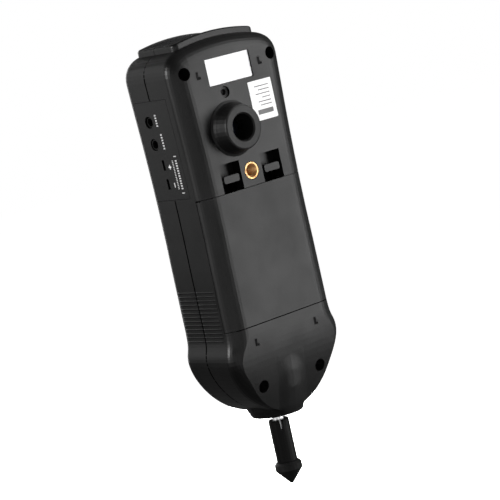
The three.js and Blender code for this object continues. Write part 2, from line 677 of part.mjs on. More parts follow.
add('sensor_can', rod('y', BARREL.x, BARREL.z, -16, -4.4, 6.4, 24), 0x8a8f94, 0.4, 1);
add('laser_module', rod('y', LASER.x, LASER.z, -16, -3.8, 3.2, 20), 0xb08d57, 0.4, 1);
add('buzzer', rod('y', -16, 32, -24.5, -19, 6, 24), 0x151515);
add('photo_emitter', rod('z', 8, SHAFT_Y, 52, 61, 2.5, 16), 0x303840, 0.2);
add('photo_detector', rod('z', -8, SHAFT_Y, 52, 61, 2.5, 16), 0x303840, 0.2);
add('bearing_holder', bearingHolder(), 0xb8bcc0, 0.4, 1);
add('lower_bearing', bearing(BEARING.lowerZ), 0xc8ccd0, 0.3, 1);
add('upper_bearing', bearing(BEARING.upperZ), 0xc8ccd0, 0.3, 1);
add('optical_interrupter', opticalInterrupter(), 0x181818);
add('input_shaft', inputShaft(), 0xe0e0e0, 0.15, 1);
add('encoder_disc', encoderDisc(), 0x202020);
add('shaft_clip', shaftClip(), 0x606060, 0.4, 1);
add('adapter_sleeve', adapterSleeve(), 0x1c1c1c, 0.6);
add('cone_tip', coneTip(), 0x1a1a1a, 0.7);

export default tachometer;
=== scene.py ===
# Looks of the handheld contact tachometer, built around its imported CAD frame.
# Z up, in metres; what is multiplied by MM is in millimetres.
# The battery cover faces +Y, the display -Y, the sockets +X.
import json
import math

import bmesh
import bpy
from mathutils import Matrix, Vector
from mathutils.bvhtree import BVHTree


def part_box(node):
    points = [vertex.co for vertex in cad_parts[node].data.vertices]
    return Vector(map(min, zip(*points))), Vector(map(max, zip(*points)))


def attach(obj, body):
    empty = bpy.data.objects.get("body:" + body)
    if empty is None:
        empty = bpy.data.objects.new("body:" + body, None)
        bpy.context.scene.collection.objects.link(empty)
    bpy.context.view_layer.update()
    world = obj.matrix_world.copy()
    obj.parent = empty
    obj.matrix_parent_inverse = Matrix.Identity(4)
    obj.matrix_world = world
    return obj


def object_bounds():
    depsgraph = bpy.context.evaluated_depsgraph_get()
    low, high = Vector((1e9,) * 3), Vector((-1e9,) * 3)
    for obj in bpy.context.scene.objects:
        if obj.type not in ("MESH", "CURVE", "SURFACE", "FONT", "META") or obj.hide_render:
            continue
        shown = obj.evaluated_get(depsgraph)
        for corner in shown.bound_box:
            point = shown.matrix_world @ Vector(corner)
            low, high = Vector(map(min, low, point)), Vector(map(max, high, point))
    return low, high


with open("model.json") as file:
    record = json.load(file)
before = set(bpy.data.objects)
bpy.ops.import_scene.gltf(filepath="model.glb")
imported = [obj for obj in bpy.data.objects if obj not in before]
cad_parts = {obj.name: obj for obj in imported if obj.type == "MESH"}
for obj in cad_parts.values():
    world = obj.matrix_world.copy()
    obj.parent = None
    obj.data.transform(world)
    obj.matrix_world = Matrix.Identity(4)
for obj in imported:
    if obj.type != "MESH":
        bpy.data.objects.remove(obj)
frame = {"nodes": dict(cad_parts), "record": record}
cad_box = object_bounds()
nodes = frame["nodes"]
MM = 0.001

# ------------------------------------------------------------------ camera
CAMERA_PLACE = Vector((0.6747, 0.8332, 0.1021))
CAMERA_RIGHT = Vector((-0.7466, 0.6298, -0.2144))
CAMERA_DOWN = Vector((0.2489, -0.0344, -0.9679))
FOCAL_MM = 152.8


def add_camera():
    right = CAMERA_RIGHT.normalized()
    back = right.cross(-CAMERA_DOWN).normalized()
    up = back.cross(right)
    data = bpy.data.cameras.new("camera")
    data.lens = FOCAL_MM
    data.sensor_width = 36
    data.clip_start = 0.01
    camera = bpy.data.objects.new("camera", data)
    camera.matrix_world = Matrix.Translation(CAMERA_PLACE) @ Matrix((right, up, back)).transposed().to_4x4()
    bpy.context.scene.collection.objects.link(camera)
    bpy.context.scene.camera = camera


# ------------------------------------------------------------------ light and floor
def add_area(name, place, target, wide, tall, power):
    data = bpy.data.lights.new(name, "AREA")
    data.shape = "RECTANGLE"
    data.size = wide
    data.size_y = tall
    data.energy = power
    lamp = bpy.data.objects.new(name, data)
    lamp.location = place
    lamp.rotation_euler = (target - place).to_track_quat("-Z", "Y").to_euler()
    lamp.visible_camera = False
    bpy.context.scene.collection.objects.link(lamp)
    return lamp


# The key is a tall soft box off the battery cover side, and other cards stand around the object.
# Each is a name, azimuth and height in degrees, distance, width, height, power and use.
# "gloss" cards are only mirrored, "soft" cards only light evenly, "both" do both.
LIT_POINT = Vector((0, -0.02, -0.04))
CARDS = (
    ("key_back", 133, 8, 1.5, 0.8, 1.7, 31, "both"),
    ("side_card", 10, -2, 1.2, 2.3, 0.6, 7, "gloss"),
    ("roll_card", 70, -10, 1.3, 0.9, 0.9, 2.6, "gloss"),
    ("corner_card", -8, 20, 1.16, 0.45, 0.4, 18, "gloss"),
    ("fill_side", -54, 18.5, 0.6, 0.3, 0.52, 0.55, "both"),
    ("display_box", -95, 8, 1.4, 0.8, 1.0, 12, "both"),
    ("far_corner", -135, 5, 1.4, 1.3, 1.2, 38, "soft"),
)


def add_lights():
    for name, azimuth, height, reach, wide, tall, power, use in CARDS:
        turn, rise = math.radians(azimuth), math.radians(height)
        flat = math.cos(rise)
        way = Vector((math.cos(turn) * flat, math.sin(turn) * flat, math.sin(rise)))
        lamp = add_area(name, LIT_POINT + way * reach, LIT_POINT, wide, tall, power)
        lamp.visible_diffuse = use != "gloss"
        lamp.visible_glossy = use != "soft"


# What the camera sees behind the object is white; what lights it is a dim, even grey.
SEEN, AMBIENT = 1.0, 0.11


def add_background(tree, strength):
    node = tree.nodes.new("ShaderNodeBackground")
    node.inputs["Color"].default_value = (1, 1, 1, 1)
    node.inputs["Strength"].default_value = strength
    return node


def add_world():
    world = bpy.data.worlds.new("studio")
    world.use_nodes = True
    tree = world.node_tree
    tree.nodes.clear()
    seen = add_background(tree, SEEN)
    ambient = add_background(tree, AMBIENT)
    path = tree.nodes.new("ShaderNodeLightPath")
    mix = tree.nodes.new("ShaderNodeMixShader")
    out = tree.nodes.new("ShaderNodeOutputWorld")
    tree.links.new(path.outputs["Is Camera Ray"], mix.inputs[0])
    tree.links.new(ambient.outputs[0], mix.inputs[1])
    tree.links.new(seen.outputs[0], mix.inputs[2])
    tree.links.new(mix.outputs[0], out.inputs[0])
    bpy.context.scene.world = world
    bpy.context.scene.view_settings.view_transform = "Standard"


# A plain pale floor well below the object, which neither lights it nor shows in its sheen.
FLOOR_HALF, FLOOR_DROP = 4.0, 0.25


def add_floor():
    mesh = bpy.data.meshes.new("floor")
    height = cad_box[0][2] - FLOOR_DROP
    ends = (-FLOOR_HALF, FLOOR_HALF)
    corners = [(x, y, height) for x in ends for y in ends]
    mesh.from_pydata(corners, [], [(0, 2, 3, 1)])
    floor = bpy.data.objects.new("floor", mesh)
    floor.visible_diffuse = False
    floor.visible_glossy = False
    bpy.context.scene.collection.objects.link(floor)
    material, _, shader = new_material("floor_white", (0.9, 0.9, 0.9), 0.9, Emission_Strength=0.9)
    shader.inputs["Emission Color"].default_value = (1, 1, 1, 1)
    mesh.materials.append(material)


# ------------------------------------------------------------------ materials
def new_material(name, colour, roughness, metallic=0.0, **sockets):
    material = bpy.data.materials.new(name)
    material.use_nodes = True
    shader = material.node_tree.nodes["Principled BSDF"]
    shader.inputs["Base Color"].default_value = (*colour, 1)
    shader.inputs["Roughness"].default_value = roughness
    shader.inputs["Metallic"].default_value = metallic
    for socket, value in sockets.items():
        shader.inputs[socket.replace("_", " ")].default_value = value
    return material, material.node_tree, shader


def faded(colour, share):
    return tuple(c * share for c in colour)


def noise(tree, scale, detail=2.0, stretch=(1, 1, 1)):
    place = tree.nodes.new("ShaderNodeTexCoord")
    mapping = tree.nodes.new("ShaderNodeMapping")
    mapping.inputs["Scale"].default_value = stretch
    texture = tree.nodes.new("ShaderNodeTexNoise")
    texture.inputs["Scale"].default_value = scale
    texture.inputs["Detail"].default_value = detail
    texture.inputs["Roughness"].default_value = 0.5
    tree.links.new(place.outputs["Object"], mapping.inputs["Vector"])
    tree.links.new(mapping.outputs["Vector"], texture.inputs["Vector"])
    return texture.outputs["Fac"]


def ramp(tree, source, low, high, at=(0.3, 0.7)):
    node = tree.nodes.new("ShaderNodeMapRange")
    node.inputs["From Min"].default_value = at[0]
    node.inputs["From Max"].default_value = at[1]
    node.inputs["To Min"].default_value = low
    node.inputs["To Max"].default_value = high
    tree.links.new(source, node.inputs["Value"])
    return node.outputs["Result"]


def blend_colour(tree, factor, first, second):
    node = tree.nodes.new("ShaderNodeMix")
    node.data_type = "RGBA"
    tree.links.new(factor, node.inputs["Factor"])
    for socket, value in ((node.inputs[6], first), (node.inputs[7], second)):
        if hasattr(value, "links"):
            tree.links.new(value, socket)
        else:
            socket.default_value = (*value, 1)
    return node.outputs[2]


def bump(tree, shader, source, distance):
    node = tree.nodes.new("ShaderNodeBump")
    node.inputs["Distance"].default_value = distance
    node.inputs["Strength"].default_value = 1.0
    tree.links.new(source, node.inputs["Height"])
    tree.links.new(node.outputs["Normal"], shader.inputs["Normal"])


# Moulded plastic: spark-eroded grain, soft sheen changes, and edges rubbed a little lighter.
GRAIN_SCALE, GRAIN_DEPTH, SHEEN_SPREAD = 2600, 0.00002, 0.05


def moulded(name, colour, roughness=0.36, wear=0.3, shine=0.17):
    material, tree, shader = new_material(name, colour, roughness, Specular_IOR_Level=shine)
    cloudy = noise(tree, 45, 3)
    fine = noise(tree, GRAIN_SCALE, 2)
    sheen = ramp(tree, cloudy, roughness - SHEEN_SPREAD, roughness + SHEEN_SPREAD)
    tree.links.new(sheen, shader.inputs["Roughness"])
    body = blend_colour(tree, ramp(tree, fine, 0, 1), faded(colour, 0.86), faded(colour, 1.16))
    edge = tree.nodes.new("ShaderNodeNewGeometry")
    rubbed = ramp(tree, edge.outputs["Pointiness"], 0, wear, (0.53, 0.62))
    worn = tuple(c * 2.2 + 0.01 for c in colour)
    tree.links.new(blend_colour(tree, rubbed, body, worn), shader.inputs["Base Color"])
    bump(tree, shader, fine, GRAIN_DEPTH)
    return material


# Turned or ground metal: fine rings or lines along one direction, and stains in a second tone.
def metal(name, colour, roughness, stretch=(1, 1, 40), scale=300, depth=0.00001, stain=None):
    material, tree, shader = new_material(name, colour, roughness, 1.0)
    lines = noise(tree, scale, 3, stretch)
    tree.links.new(ramp(tree, lines, roughness * 0.7, roughness * 1.5), shader.inputs["Roughness"])
    spots = ramp(tree, noise(tree, 120, 3), 0, 1)
    tone = blend_colour(tree, spots, colour, stain or faded(colour, 0.8))
    tree.links.new(tone, shader.inputs["Base Color"])
    bump(tree, shader, lines, depth)
    return material


def glassy(name, colour, roughness=0.06, alpha=1.0):
    sockets = {"IOR": 1.5, "Alpha": alpha, "Specular_IOR_Level": 0.3}
    material, tree, shader = new_material(name, colour, roughness, **sockets)
    haze = noise(tree, 60, 4)
    tree.links.new(ramp(tree, haze, roughness * 0.6, roughness * 1.8), shader.inputs["Roughness"])
    tone = blend_colour(tree, ramp(tree, haze, 0, 1), faded(colour, 0.92), colour)
    tree.links.new(tone, shader.inputs["Base Color"])
    bump(tree, shader, noise(tree, 900, 2), 0.000002)
    return material


# The same plastic with painted shade below a depth: it turns black and loses its sheen where small parts
# reach down into a pocket.
def painted_shade_plastic(name, colour, roughness, shallow, deep, shine=0.17):
    material = moulded(name, colour, roughness, shine=shine)
    tree = material.node_tree
    shader = tree.nodes["Principled BSDF"]
    place = tree.nodes.new("ShaderNodeTexCoord")
    split = tree.nodes.new("ShaderNodeSeparateXYZ")
    tree.links.new(place.outputs["Object"], split.inputs["Vector"])
    lit = ramp(tree, split.outputs["Y"], 0, 1, (deep, shallow))
    surface = shader.inputs["Base Color"].links[0].from_socket
    # Painted shade: deeper down, the colour goes near black and the sheen goes to nothing.
    tone = blend_colour(tree, lit, (0.0006, 0.0006, 0.0006), surface)
    tree.links.new(tone, shader.inputs["Base Color"])
    tree.links.new(ramp(tree, lit, 0, shine, (0, 1)), shader.inputs["Specular IOR Level"])
    return material


def rubber(name, colour, roughness=0.7, shine=0.3):
    material, tree, shader = new_material(name, colour, roughness, Specular_IOR_Level=shine)
    fine = noise(tree, 3200, 3)
    dusty = noise(tree, 160, 4)
    pale = tuple(c * 1.6 + 0.0005 for c in colour)
    tone = blend_colour(tree, ramp(tree, dusty, 0, 0.8), colour, pale)
    tree.links.new(tone, shader.inputs["Base Color"])
    tree.links.new(ramp(tree, dusty, roughness - 0.08, roughness + 0.1), shader.inputs["Roughness"])
    bump(tree, shader, fine, 0.00004)
    return material


# painted_glow lets a film shine by itself: painted light.
def film(name, colour, roughness=0.45, painted_glow=0.0):
    material, tree, shader = new_material(name, colour, roughness, Emission_Strength=painted_glow)
    shader.inputs["Emission Color"].default_value = (*colour, 1)
    fibre = noise(tree, 1400, 4)
    tone = blend_colour(tree, ramp(tree, fibre, 0, 1), colour, faded(colour, 0.965))
    tree.links.new(tone, shader.inputs["Base Color"])
    sheen = ramp(tree, noise(tree, 80, 2), roughness - 0.06, roughness + 0.08)
    tree.links.new(sheen, shader.inputs["Roughness"])
    bump(tree, shader, fibre, 0.000006)
    return material


def board_green():
    material, tree, shader = new_material("board_green", (0.02, 0.13, 0.05), 0.35)
    tracks = tree.nodes.new("ShaderNodeTexBrick")
    place = tree.nodes.new("ShaderNodeTexCoord")
    turn = tree.nodes.new("ShaderNodeMapping")
    turn.inputs["Rotation"].default_value = (math.pi / 2, 0, 0)
    tree.links.new(place.outputs["Object"], turn.inputs["Vector"])
    tree.links.new(turn.outputs["Vector"], tracks.inputs["Vector"])
    tracks.inputs["Scale"].default_value = 220
    tracks.inputs["Color1"].default_value = (0.015, 0.11, 0.04, 1)
    tracks.inputs["Color2"].default_value = (0.02, 0.14, 0.055, 1)
    tracks.inputs["Mortar"].default_value = (0.05, 0.26, 0.11, 1)
    tree.links.new(tracks.outputs["Color"], shader.inputs["Base Color"])
    bump(tree, shader, tracks.outputs["Fac"], 0.00003)
    return material


CELL_BLACK, CELL_COPPER = (0.03, 0.03, 0.035), (0.72, 0.33, 0.07)
CELL_BAND = (0.0065, 0.0068)  # X where the black ends and where the copper starts


def cell_print():
    material, tree, shader = new_material("cell_print", CELL_BLACK, 0.3)
    place = tree.nodes.new("ShaderNodeTexCoord")
    split = tree.nodes.new("ShaderNodeSeparateXYZ")
    tree.links.new(place.outputs["Object"], split.inputs["Vector"])
    band = ramp(tree, split.outputs["X"], 0, 1, CELL_BAND)
    tone = blend_colour(tree, band, CELL_BLACK, CELL_COPPER)
    scuffs = ramp(tree, noise(tree, 700, 4, (1, 8, 8)), 0.24, 0.42)
    tree.links.new(tone, shader.inputs["Base Color"])
    tree.links.new(scuffs, shader.inputs["Roughness"])
    bump(tree, shader, noise(tree, 500, 2), 0.000008)
    return material


CASE_GREY = (0.0125, 0.0125, 0.0125)
# Painted shade on the latches: Y where it starts to darken them, and where they are painted black.
LATCH_PAINTED_SHADE = (-0.0018, -0.0024)  # Y where the latches start to go dark, and where they are black
materials = {
    "case_plastic": moulded("case_plastic", CASE_GREY),
    "cover_plastic": moulded("cover_plastic", faded(CASE_GREY, 1.12), 0.37),
    "panel_plastic": moulded("panel_plastic", faded(CASE_GREY, 0.9), 0.34),
    "latch_plastic": painted_shade_plastic("latch_plastic", (0.022, 0.022, 0.022), 0.42, *LATCH_PAINTED_SHADE),
    "barrel_plastic": moulded("barrel_plastic", (0.016, 0.016, 0.016), 0.46, wear=0.2),
    "jack_plastic": moulded("jack_plastic", (0.006, 0.006, 0.006), 0.5),
    "inner_plastic": moulded("inner_plastic", (0.012, 0.012, 0.012), 0.5),
    "adapter_plastic": moulded("adapter_plastic", (0.006, 0.006, 0.006), 0.44, wear=0.2, shine=0.06),
    "tip_rubber": rubber("tip_rubber", (0.005, 0.005, 0.005), 0.6, shine=0.12),
    "key_rubber": rubber("key_rubber", (0.075, 0.08, 0.09), 0.6),
    "brass": metal("brass", (0.74, 0.49, 0.25), 0.5, (1, 14, 1), 500, stain=(0.6, 0.34, 0.14)),
    "lens_glass": glassy("lens_glass", (0.01, 0.012, 0.02), 0.05),
    "smoked_window": glassy("smoked_window", (0.012, 0.012, 0.014), 0.25),
    "clear_window": glassy("clear_window", (0.8, 0.84, 0.82), 0.04, alpha=0.22),
    "lcd_glass": glassy("lcd_glass", (0.24, 0.29, 0.22), 0.2),
    "diode_resin": glassy("diode_resin", (0.03, 0.03, 0.06), 0.1),
    # The label glows a little: painted light on top of its white.
    "label_film": film("label_film", (0.98, 0.98, 0.98), painted_glow=0.12),
    "screw_steel": metal("screw_steel", (0.3, 0.3, 0.31), 0.4),
    "spring_steel": metal("spring_steel", (0.7, 0.7, 0.68), 0.28),
    "sensor_metal": metal("sensor_metal", (0.5, 0.5, 0.5), 0.35),
    "holder_aluminium": metal("holder_aluminium", (0.62, 0.63, 0.64), 0.35),
    "bearing_steel": metal("bearing_steel", (0.62, 0.63, 0.65), 0.2),
    "chrome_shaft": metal("chrome_shaft", (0.97, 0.97, 0.98), 0.4, (1, 1, 30), 400, 0.000004),
    "circuit_board": board_green(),
    "cell_sleeve": cell_print(),
}
# White ink that glows: painted light that keeps the print bright.
glowing_white_ink = film("glowing_white_ink", (0.85, 0.85, 0.85), 0.5, painted_glow=0.45)
grey_ink = film("grey_ink", (0.12, 0.12, 0.12), 0.5)
black_ink = film("black_ink", (0.012, 0.014, 0.012), 0.4)
# Near black without sheen: painted shadow for the gaps of the joints and the depths of the latch pockets.
painted_shade_black = rubber("painted_shade_black", (0.0005, 0.0005, 0.0005), 0.9, shine=0.0)


# ------------------------------------------------------------------ helpers for pieces
def make_object(name, bm, material, body="case", smooth=0.6):
    bmesh.ops.remove_doubles(bm, verts=bm.verts, dist=1e-7)
    bmesh.ops.recalc_face_normals(bm, faces=bm.faces)
    mesh = bpy.data.meshes.new(name)
    bm.to_mesh(mesh)
    bm.free()
    piece = bpy.data.objects.new(name, mesh)
    bpy.context.scene.collection.objects.link(piece)
    mesh.materials.append(material)
    shade(piece, smooth)
    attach(piece, body)
    return piece


def shade(piece, angle):
    mesh = piece.data
    mesh.shade_smooth()
    mesh.set_sharp_from_angle(angle=angle)


def soften(piece, width, angle=0.6):
    bevel = piece.modifiers.new("soft_edges", "BEVEL")
    bevel.width = width
    bevel.segments = 2
    bevel.limit_method = "ANGLE"
    bevel.angle_limit = angle
    bevel.harden_normals = True


def spaced(low, high, count):
    return [low + (high - low) * i / (count - 1) for i in range(count)]


# Faces between two closed rings with the same number of points.
def join_rings(bm, first, second):
    for j in range(len(first)):
        k = (j + 1) % len(first)
        bm.faces.new((first[j], first[k], second[k], second[j]))


# One closed body through a row of rings, capped at both ends.
def loft(bm, rings):
    for first, second in zip(rings, rings[1:]):
        join_rings(bm, first, second)
    bm.faces.new(list(reversed(rings[0])))
    bm.faces.new(rings[-1])


# One closed body between two grids of points that lie over each other.
def close_sheet(bm, top, low):
    for grid, flip in ((top, False), (low, True)):
        for near, far in zip(grid, grid[1:]):
            for i in range(len(near) - 1):
                four = [near[i], far[i], far[i + 1], near[i + 1]]
                bm.faces.new(list(reversed(four)) if flip else four)
    join_rings(bm, rim_of(low), rim_of(top))


def rim_of(grid):
    right = [row[-1] for row in reversed(grid[:-1])]
    return [row[0] for row in grid] + grid[-1][1:] + right + grid[0][-2:0:-1]


# ------------------------------------------------------------------ finish of the CAD nodes
# Width of the rounded edges of each node that shows them.
ROUNDED = {
    "rear_case": 0.0003, "front_case": 0.0003, "battery_cover": 0.0002, "socket_panel": 0.00015,
    "latch_right": 0.0002, "latch_left": 0.0002, "sensor_barrel": 0.0002, "cone_tip": 0.0005,
    "adapter_sleeve": 0.0002, "top_window": 0.0002, "input_shaft": 0.0001,
}
SHARP_ANGLE, FLAT_ANGLE = 0.55, 0.01


# Gives each CAD node its material, smoothing by angle, rounded edges where listed and even flats.
def dress_cad_nodes():
    slot_of = {entry["node"]: entry["material_slot"] for entry in frame["record"]["subparts"]}
    for name, node in nodes.items():
        node.data.materials.clear()
        node.data.materials.append(materials[slot_of[name]])
        if node.data.has_custom_normals:
            bpy.context.view_layer.objects.active = node
            bpy.ops.mesh.customdata_custom_splitnormals_clear()
        shade(node, SHARP_ANGLE)
        if name in ROUNDED:
            merge = node.modifiers.new("merge_flats", "DECIMATE")
            merge.decimate_type = "DISSOLVE"
            merge.angle_limit = FLAT_ANGLE
            soften(node, ROUNDED[name])
        flat = node.modifiers.new("even_flats", "WEIGHTED_NORMAL")
        flat.keep_sharp = True


# ------------------------------------------------------------------ placing on the surface
# Rays onto the sides, the back and the top start this far out, clear of every node.
FAR_SIDE, FAR_BACK, FAR_TOP = 60, 30, 90


# A function that gives the first point and normal met on these nodes by a ray.
def surface_of(*names):
    trees = []
    for name in names:
        node = nodes[name]
        points = [node.matrix_world @ v.co for v in node.data.vertices]
        faces = [tuple(face.vertices) for face in node.data.polygons]
        trees.append(BVHTree.FromPolygons(points, faces))

    def touch(start, direction):
        hits = [tree.ray_cast(Vector(start), Vector(direction)) for tree in trees]
        hits = [hit for hit in hits if hit[0] is not None]
        return min(hits, key=lambda hit: hit[3])[:2] if hits else None

    return touch


# A thin closed plate that follows a surface, from a grid of points cast onto it.
def add_plate(bm, touch, grid, direction, thick, sink=0.00002):
    top, low = [], []
    for line in grid:
        hits = [touch(start, direction) for start in line]
        if None in hits:
            return
        low.append([bm.verts.new(point - normal * sink) for point, normal in hits])
        top.append([bm.verts.new(point + normal * thick) for point, normal in hits])
    close_sheet(bm, top, low)


# ------------------------------------------------------------------ grip ribs
RIBS = {"count": 13, "top": -54.8, "pitch": 2.15, "stations": 15, "end_share": 0.25}
# Half, node and the two ends along Y.
RIB_PARTS = (("front", "front_case", -38.0, -23.6), ("rear", "rear_case", -22.8, -8.4))
# Across the rib and out of the case.
RIB_PROFILE = (
    (-0.55, -0.08), (-0.5, 0.06), (-0.28, 0.24), (0, 0.3), (0.28, 0.24), (0.5, 0.06), (0.55, -0.08),
)


def add_grip_ribs():
    for side, word in ((1, "right"), (-1, "left")):
        for half, node, y0, y1 in RIB_PARTS:
            touch = surface_of(node)
            bm = bmesh.new()
            stations = spaced(y0, y1, RIBS["stations"])
            for i in range(RIBS["count"]):
                add_rib(bm, touch, side, RIBS["top"] - RIBS["pitch"] * i, stations)
            name = f"grip_ribs_{word}_{half}"
            make_object(name, bm, materials["case_plastic"])


def add_rib(bm, touch, side, z, stations):
    rings = []
    for y in stations:
        hit = touch((side * FAR_SIDE * MM, y * MM, z * MM), (-side, 0, 0))
        if hit is None:
            continue
        point, normal = hit
        fade = RIBS["end_share"] if y in (stations[0], stations[-1]) else 1
        ring = []
        for across, out in RIB_PROFILE:
            lift = out * fade if out > 0 else out
            ring.append(bm.verts.new(point + Vector((0, 0, across * MM)) + normal * (lift * MM)))
        rings.append(ring)
    loft(bm, rings)


# ------------------------------------------------------------------ raised pips by the screws
PIP_PLACES = ((20.4, 53), (-20.4, 53), (20.4, -84.7), (-20.4, -84.7))
PIP_BASE = ((1.25, 2.0), (1.25, -2.0), (-1.3, -2.0), (-1.3, -1.3), (0.1, 2.0))
PIP_CROWN = ((0.7, 1.7), (0.7, -0.6), (-0.5, -0.6), (-0.6, -0.2), (0.2, 1.7))
PIP_SINK, PIP_FOOT, PIP_RISE = 0.2, 0.1, 0.9


def add_pips():
    touch = surface_of("rear_case")
    for i, (x, z) in enumerate(PIP_PLACES):
        bm = bmesh.new()
        rings = [[], [], []]
        for outer, inner in zip(PIP_BASE, PIP_CROWN):
            start = ((x + outer[0]) * MM, FAR_BACK * MM, (z + outer[1]) * MM)
            point, normal = touch(start, (0, -1, 0))
            over = Vector(((x + inner[0]) * MM, point.y, (z + inner[1]) * MM))
            rings[0].append(bm.verts.new(point - normal * PIP_SINK * MM))
            rings[1].append(bm.verts.new(point + normal * PIP_FOOT * MM))
            rings[2].append(bm.verts.new(over + normal * PIP_RISE * MM))
        loft(bm, rings)
        pip = make_object(f"pip_{i + 1}", bm, materials["case_plastic"], smooth=0.4)
        soften(pip, 0.0001, angle=0.4)


# ------------------------------------------------------------------ soft ridge over the nose
RIDGE = {"top": -92, "end": -127.4, "rows": 60, "columns": 41, "reach": 12.0}
RIDGE_WIDER, RIDGE_BLUR, RIDGE_BLUR_Z = 1.8, 1.7, 1.2
RIDGE_SINK, RIDGE_THICK, RIDGE_LIFT = 0.06, 0.5, 0.04
RIDGE_STEP = 0.6                # between two rows
RIDGE_ROLL = 4                  # the patch stops where the case has fallen this far
RIDGE_FADES = (5, 1.9)          # how far from its upper and lower end the swell is at its full height
RIDGE_EDGE = (0.66, 0.94)       # shares of the half width between which it dies away


def eased(value, low, high):
    t = min(max((value - low) / (high - low), 0), 1)
    return t * t * (3 - 2 * t)


# Gaussian blur of a row of values that stand one step apart.
def blurred(values, reach, step):
    count = math.ceil(reach * 2.5 / step)
    weights = [math.exp(-0.5 * (k * step / reach) ** 2) for k in range(-count, count + 1)]
    total = sum(weights)
    last = len(values) - 1
    result = []
    for i in range(len(values)):
        window = [values[min(max(i + k - count, 0), last)] for k in range(len(weights))]
        result.append(sum(w * v for w, v in zip(weights, window)) / total)
    return result


# Half width of the patch at one height: as far out as the case has not yet rolled away.
def ridge_reach(depth, z):
    reach = RIDGE["reach"]
    while min(depth(reach, z), depth(-reach, z)) < depth(0, z) - RIDGE_ROLL:
        reach -= 0.25
    return reach


# One row of the case's own heights, and the same row widened and smoothed sideways.
def ridge_row(depth, z, reach, shares):
    step = reach / (len(shares) // 2)
    row = [depth(share * reach, z) for share in shares]
    spread = max(round(RIDGE_WIDER / step), 1)
    wide = [max(row[max(i - spread, 0):i + spread + 1]) for i in range(len(row))]
    return row, blurred(wide, RIDGE_BLUR, step)


# A sheet over the ridge of the case, which makes it swell softly out of the back.
def add_ridge_swell():
    touch = surface_of("rear_case")
    high, end = RIDGE["top"], RIDGE["end"]
    heights = spaced(high, end, RIDGE["rows"])
    shares = spaced(-1, 1, RIDGE["columns"])

    def depth(x, z):
        hit = touch((x * MM, FAR_BACK * MM, z * MM), (0, -1, 0))
        return hit[0].y / MM if hit else -99.0

    reaches = [ridge_reach(depth, z) for z in heights]
    pairs = [ridge_row(depth, z, reach, shares) for z, reach in zip(heights, reaches)]
    along = [[soft[i] for _, soft in pairs] for i in range(len(shares))]
    columns = [blurred(values, RIDGE_BLUR_Z, RIDGE_STEP) for values in along]
    bm = bmesh.new()
    top, low = [], []
    for j, (z, reach, (raw, _)) in enumerate(zip(heights, reaches, pairs)):
        ends = eased(-z, -high, RIDGE_FADES[0] - high) * eased(z, end, end + RIDGE_FADES[1])
        top.append([])
        low.append([])
        for i, share in enumerate(shares):
            near = ends * (1 - eased(abs(share), *RIDGE_EDGE))
            rise = max(columns[i][j] - raw[i], RIDGE_LIFT)
            height = raw[i] - RIDGE_SINK + near * (rise + RIDGE_SINK)
            top[-1].append(bm.verts.new((share * reach * MM, height * MM, z * MM)))
            low[-1].append(bm.verts.new((share * reach * MM, (raw[i] - RIDGE_THICK) * MM, z * MM)))
    close_sheet(bm, top, low)
    make_object("ridge_swell", bm, materials["case_plastic"], smooth=1.0)


# ------------------------------------------------------------------ painted shadow lines in the joints
# Dark strips put in the joints' gaps as painted shadow, a little proud of the case and sunk below it.
SHADE_LINE_PROUD, SHADE_LINE_SINK = 0.03, 0.3
CASE_SHADE_LINE_Y = (-22.8, -23.6)                                 # over the parting plane
CASE_SHADE_LINE_RUNS = ((1, 66, 45.8), (1, -6.6, -118), (-1, 66, -118))  # side, upper and lower end
COVER_SHADE_LINE_Z = (-76.06, -76.5)                               # just below the cover's lower edge
COVER_SHADE_LINE_HALF, COVER_SHADE_LINE_CAST_Z = 31, -76.6


def add_case_shade_lines():
    touch = surface_of("rear_case", "front_case")
    for number, (side, z0, z1) in enumerate(CASE_SHADE_LINE_RUNS):
        bm = bmesh.new()
        top, low = [], []
        out = Vector((side * MM, 0, 0))
        for z in spaced(z0, z1, 2 + int((z0 - z1) / 2)):
            starts = [(side * FAR_SIDE * MM, y * MM, z * MM) for y in CASE_SHADE_LINE_Y]
            points = [touch(start, (-side, 0, 0))[0] for start in starts]
            top.append([bm.verts.new(point + out * SHADE_LINE_PROUD) for point in points])
            low.append([bm.verts.new(point - out * SHADE_LINE_SINK) for point in points])
        close_sheet(bm, top, low)
        make_object(f"case_shade_line_{number + 1}", bm, painted_shade_black)


def add_cover_shade_line():
    touch = surface_of("rear_case")
    bm = bmesh.new()
    top, low = [], []
    for x in spaced(-COVER_SHADE_LINE_HALF, COVER_SHADE_LINE_HALF, 50):
        y = touch((x * MM, FAR_BACK * MM, COVER_SHADE_LINE_CAST_Z * MM), (0, -1, 0))[0].y
        top.append([bm.verts.new((x * MM, y + SHADE_LINE_PROUD * MM, z * MM)) for z in COVER_SHADE_LINE_Z])
        low.append([bm.verts.new((x * MM, y - SHADE_LINE_SINK * MM, z * MM)) for z in COVER_SHADE_LINE_Z])
    close_sheet(bm, top, low)
    make_object("cover_shade_line", bm, painted_shade_black)


# A wall in painted shade, near black, behind each latch window, before the first cell, with a lip beside
# the latch's foot.
WALL = {"x0": 7.6, "x1": 19.4, "z0": -9.6, "z1": -2.5, "y": -5.95, "thick": 0.2}
LIP = {"foot": 4.6, "z0": -10.7, "z1": -9.0, "y": -4.95}


def add_pocket_shade_walls():
    for side, word in ((1, "right"), (-1, "left")):
        bm = bmesh.new()
        x0, x1 = sorted((side * WALL["x0"], side * WALL["x1"]))
        add_bars(bm, WALL["y"] * MM, 1, [(x0, x1, WALL["z0"], WALL["z1"])], WALL["thick"])
        add_bars(bm, LIP["y"] * MM, 1, [(x0 + LIP["foot"], x1, LIP["z0"], LIP["z1"])], WALL["thick"])
        make_object(f"pocket_shade_wall_{word}", bm, painted_shade_black)


